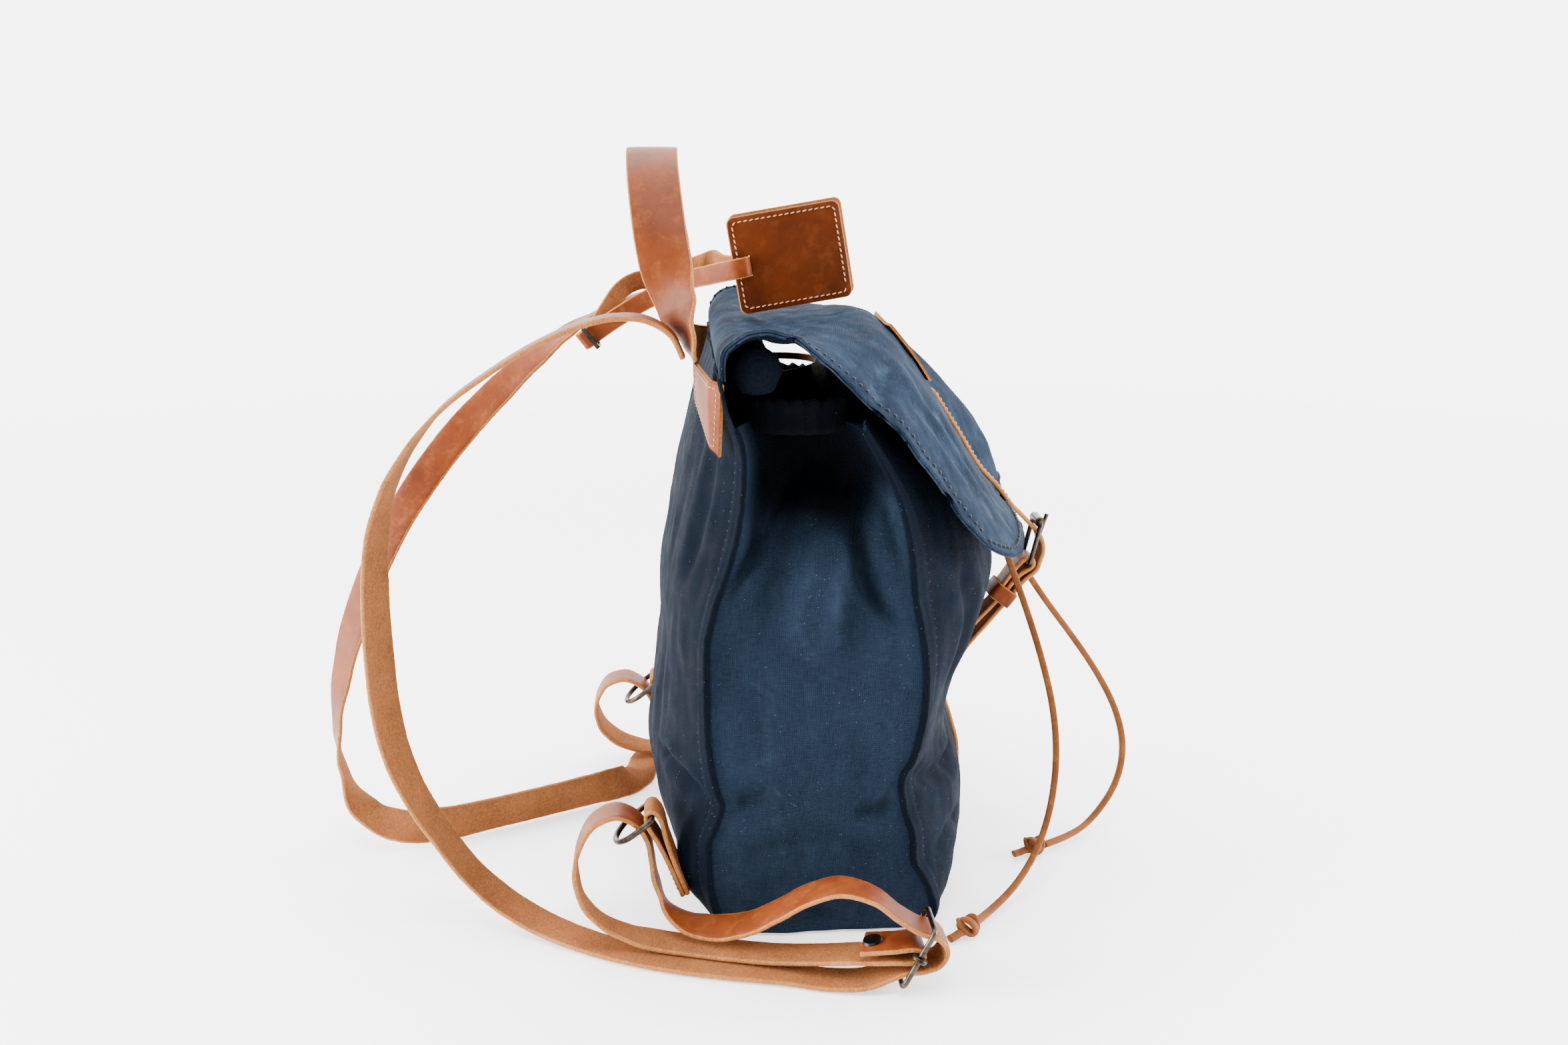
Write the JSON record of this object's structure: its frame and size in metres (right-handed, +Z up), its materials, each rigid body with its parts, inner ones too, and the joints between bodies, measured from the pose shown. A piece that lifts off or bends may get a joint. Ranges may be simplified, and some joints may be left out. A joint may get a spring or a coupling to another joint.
{
  "type": "canvas backpack",
  "caption": "Canvas drawstring backpack with a front flap, leather roller-buckle closure, carrying handle, adjustable shoulder straps and a hanging leather tag.",
  "frame": {"origin": "middle of the bag's base, on the surface it stands on", "axes": "+Z up; -Y is the front with the flap buckle; +Y is the back with the shoulder straps; +X is the bag's right seen from the front with the tag on the handle's +X leg"},
  "size_m": [0.4696, 0.6088, 0.508],
  "materials": {
    "canvas": "waxed plain weave",
    "canvas_dark": "plain weave",
    "leather": "semi-gloss grain",
    "lace_leather": "soft grain",
    "bronze": "antique",
    "dark_metal": "blackened"
  },
  "bodies": {
    "bag": {"base_panel": "canvas", "back_panel": "canvas", "front_panel": "canvas", "left_gusset": "canvas", "right_gusset": "canvas", "mouth_collar": "canvas", "drawstring_loop": "lace_leather", "drawstring_eyelets": "bronze", "drawstring_left": "lace_leather", "drawstring_right": "lace_leather", "knot_left": "lace_leather", "knot_right": "lace_leather", "flap_root": "canvas", "closure_strap": "leather", "left_anchor_patch": "leather", "right_anchor_patch": "leather", "left_shoulder_strap": "leather", "right_shoulder_strap": "leather", "left_strap_rivet": "dark_metal", "right_strap_rivet": "dark_metal", "left_ring_tab": "leather", "right_ring_tab": "leather"},
    "flap": {"flap_panel": "canvas", "flap_lining": "canvas_dark", "blank_patch": "leather", "flap_strap": "leather"},
    "handle_loop": {"handle": "leather", "tag_strap": "leather", "tag_buckle": "dark_metal"},
    "tag": {"tag_front": "leather", "tag_back": "leather"},
    "buckle": {"buckle_frame": "bronze"},
    "roller": {"buckle_roller": "bronze"},
    "prong": {"buckle_prong": "bronze"},
    "keeper": {"closure_keeper": "leather"},
    "ring_left": {"left_ring": "bronze"},
    "ring_right": {"right_ring": "bronze"},
    "slider_left": {"left_slider": "bronze"},
    "slider_right": {"right_slider": "bronze"}
  },
  "joints": [
    {"name": "flap_open", "type": "hinge", "parent": "bag", "child": "flap", "pos_m": [0, 0.054, 0.391], "axis": [-1, 0, 0], "range_deg": [0, 95], "deforming": ["flap_strap", "tag_strap"]},
    {"name": "tag_lift", "type": "hinge", "parent": "flap", "child": "tag", "pos_m": [0.02, 0.0369, 0.4252], "axis": [-1, 0, 0], "range_deg": [0, 20], "deforming": ["tag_strap"]},
    {"name": "handle_swing", "type": "hinge", "parent": "bag", "child": "handle_loop", "pos_m": [0, 0.077, 0.378], "axis": [-1, 0, 0], "range_deg": [-18, 0], "deforming": ["tag_strap"]},
    {"name": "buckle_tilt", "type": "hinge", "parent": "bag", "child": "buckle", "pos_m": [0, -0.164, 0.213], "axis": [1, 0, 0], "range_deg": [0, 30], "deforming": ["flap_strap"]},
    {"name": "roller_turn", "type": "hinge", "parent": "buckle", "child": "roller", "pos_m": [0, -0.171, 0.243], "axis": [1, 0, 0], "continuous": true},
    {"name": "prong_swing", "type": "hinge", "parent": "buckle", "child": "prong", "pos_m": [0, -0.164, 0.213], "axis": [1, 0, 0], "range_deg": [0, 90], "deforming": ["flap_strap"]},
    {"name": "keeper_slide", "type": "slide", "parent": "bag", "child": "keeper", "axis": [0, -0.6039, 0.7971], "range_m": [-0.003, 0.003]},
    {"name": "left_ring_swing", "type": "hinge", "parent": "bag", "child": "ring_left", "pos_m": [-0.13, 0.11, 0.082], "axis": [1, 0, 0], "range_deg": [-12, 12]},
    {"name": "right_ring_swing", "type": "hinge", "parent": "bag", "child": "ring_right", "pos_m": [0.13, 0.11, 0.082], "axis": [1, 0, 0], "range_deg": [-12, 12]},
    {"name": "left_slider_tilt", "type": "hinge", "parent": "bag", "child": "slider_left", "pos_m": [-0.217, -0.053, 0.025], "axis": [1, 0, 0], "range_deg": [-4, 4]},
    {"name": "right_slider_tilt", "type": "hinge", "parent": "bag", "child": "slider_right", "pos_m": [0.217, -0.053, 0.025], "axis": [1, 0, 0], "range_deg": [-4, 4]}
  ]
}
